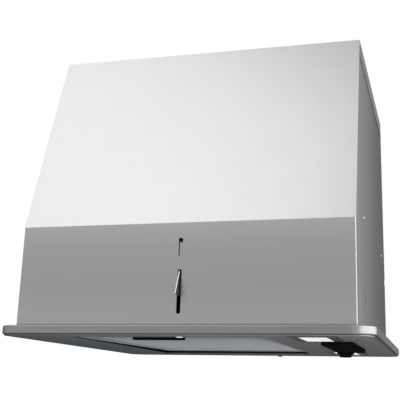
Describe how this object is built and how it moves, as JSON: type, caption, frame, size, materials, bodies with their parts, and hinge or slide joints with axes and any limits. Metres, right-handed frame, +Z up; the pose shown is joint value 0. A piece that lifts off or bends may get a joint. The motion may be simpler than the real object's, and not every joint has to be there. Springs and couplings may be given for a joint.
{
  "type": "range hood insert",
  "caption": "Built-in steel range hood body on a flat rim, with grease filter, lamps, timer knob, and a front lever that turns a damper in the duct collar.",
  "frame": {"origin": "middle of the rim's top face, the plane that seats against the underside of the cabinet, at the centre of the four screw holes", "axes": "+X to the right as seen from the front, +Y from the front to the back, +Z up to the duct collar"},
  "size_m": [0.598, 0.597, 0.5845],
  "materials": {
    "hood_steel": "brushed, satin",
    "galvanised": "galvanised, dull",
    "filter_aluminium": "mill finish",
    "black_plastic": "fine grain, moulded",
    "white_plastic": "moulded, smooth",
    "lens": "milky diffuser",
    "spring_steel": "drawn wire",
    "seal_rubber": "matt"
  },
  "bodies": {
    "hood": {"rim_frame": "hood_steel", "bottom_plate": "hood_steel", "front_panel": "hood_steel", "side_panel_left": "hood_steel", "side_panel_right": "hood_steel", "back_panel": "galvanised", "top_cover": "hood_steel", "side_rails": "galvanised", "side_rivets": "hood_steel", "outlet_collar": "galvanised", "collar_flange": "galvanised", "damper_drum": "galvanised", "collar_rivets": "galvanised", "damper_bushes": "white_plastic", "rod_guide": "galvanised", "slide_guides": "galvanised", "filter_hinge_brackets": "galvanised", "lamp_bezels": "hood_steel", "lamp_lenses": "lens", "lamp_cases": "galvanised", "led_boards": "white_plastic", "timer_housing": "black_plastic", "timer_lid": "black_plastic", "timer_clockwork": "galvanised", "led_driver": "white_plastic", "terminal_block": "white_plastic", "cable_gland": "black_plastic", "light_switch_body": "hood_steel", "light_switch_nut": "galvanised", "plate_screws": "hood_steel", "rear_screw": "hood_steel"},
    "lever": {"lever_handle": "hood_steel", "lever_slide": "galvanised", "pull_rod": "galvanised"},
    "damper": {"damper_flap": "galvanised", "damper_seal": "seal_rubber", "damper_shaft": "galvanised", "damper_crank": "galvanised", "flap_screws": "galvanised"},
    "base_flow": {"flow_slide": "galvanised", "flow_pin": "black_plastic"},
    "timer": {"timer_knob": "black_plastic", "timer_shaft": "galvanised"},
    "light_push": {"light_button": "white_plastic", "button_spring": "spring_steel"},
    "filter": {"filter_frame": "filter_aluminium", "filter_net": "filter_aluminium", "filter_core": "filter_aluminium", "filter_backing": "filter_aluminium", "filter_hinge_pins": "filter_aluminium", "handle_cup": "black_plastic"},
    "filter_latch": {"latch_slider": "black_plastic", "latch_spring": "spring_steel"}
  },
  "joints": [
    {"name": "lever_slide", "type": "slide", "parent": "hood", "child": "lever", "axis": [0, 0, -1], "range_m": [0, 0.026]},
    {"name": "damper_turn", "type": "hinge", "parent": "hood", "child": "damper", "pos_m": [0, 0.06, 0.468], "axis": [0, -1, 0], "range_deg": [0, 90]},
    {"name": "base_flow_slide", "type": "slide", "parent": "hood", "child": "base_flow", "axis": [0, 0, -1], "range_m": [0, 0.022]},
    {"name": "timer_turn", "type": "hinge", "parent": "hood", "child": "timer", "pos_m": [0.2165, 0.032, -0.02], "axis": [0, 0, -1], "range_deg": [0, 300]},
    {"name": "light_press", "type": "slide", "parent": "hood", "child": "light_push", "axis": [0, 0, 1], "range_m": [0, 0.0012], "stiffness_N_per_m": 400, "deforming": ["button_spring"]},
    {"name": "filter_swing", "type": "hinge", "parent": "hood", "child": "filter", "pos_m": [-0.031, 0.208, -0.005], "axis": [1, 0, 0], "range_deg": [0, 75]},
    {"name": "latch_pull", "type": "slide", "parent": "filter", "child": "filter_latch", "axis": [0, 1, 0], "range_m": [0, 0.0045], "stiffness_N_per_m": 400, "deforming": ["latch_spring"]}
  ],
  "couplings": [
    {"joint": "damper_turn", "follows": "lever_slide", "rad_per_m": 60.415}
  ]
}
